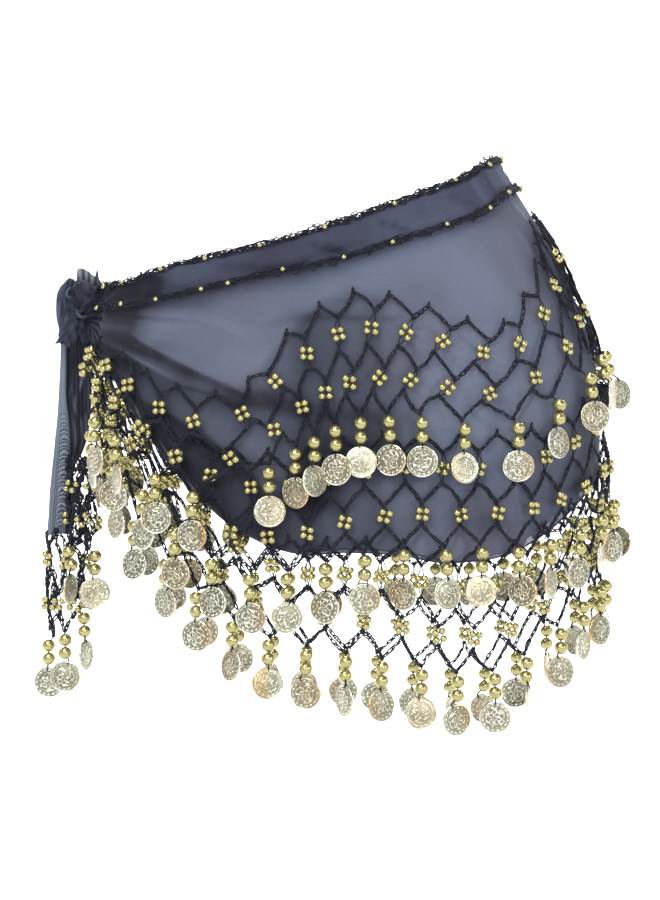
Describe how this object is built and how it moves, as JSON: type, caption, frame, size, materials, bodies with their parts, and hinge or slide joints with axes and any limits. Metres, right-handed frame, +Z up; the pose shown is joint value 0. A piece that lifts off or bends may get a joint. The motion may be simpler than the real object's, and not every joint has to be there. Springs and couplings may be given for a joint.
{
  "type": "belly dance hip scarf",
  "caption": "Chiffon hip scarf tied at one hip, with tiers of crochet net that carry gilt beads and coins, in the form it takes when worn.",
  "frame": {"origin": "the middle of the waist opening, at the mean height of the top edge, where the wearer's hips hold the scarf", "axes": "+Z up, the front faces -Y, +X towards the wearer's left hip; the knot is on the -X side"},
  "size_m": [0.385, 0.2692, 0.3718],
  "materials": {
    "chiffon": "semi-sheer polyester chiffon, black with a blue-grey sheen",
    "chiffon_doubled": "chiffon in several layers, nearly opaque black with a violet cast",
    "yarn": "matt black crochet yarn in open chain stitch",
    "gilt_bead": "bright gilt, polished",
    "coin": "pale gilt stamped sheet, bright with darker recesses"
  },
  "bodies": {
    "root": {"chiffon_panel": "chiffon", "waistband": "chiffon_doubled", "edge_cord_top": "yarn", "edge_cord_lower": "yarn", "net1_front": "yarn", "net1_back": "yarn", "net2_front": "yarn", "net2_back": "yarn", "net3_front": "yarn", "net3_back": "yarn", "drops1_front": "coin", "drops1_back": "coin", "drops2_front": "coin", "drops2_back": "coin", "drops3_front": "coin", "drops3_back": "coin", "knot": "chiffon_doubled", "knot_ear": "chiffon_doubled", "tail_cloth": "chiffon", "tail_net_upper": "yarn", "tail_net_lower": "yarn", "tail_drops_upper": "gilt_bead", "tail_drops_lower": "gilt_bead"}
  },
  "joints": []
}
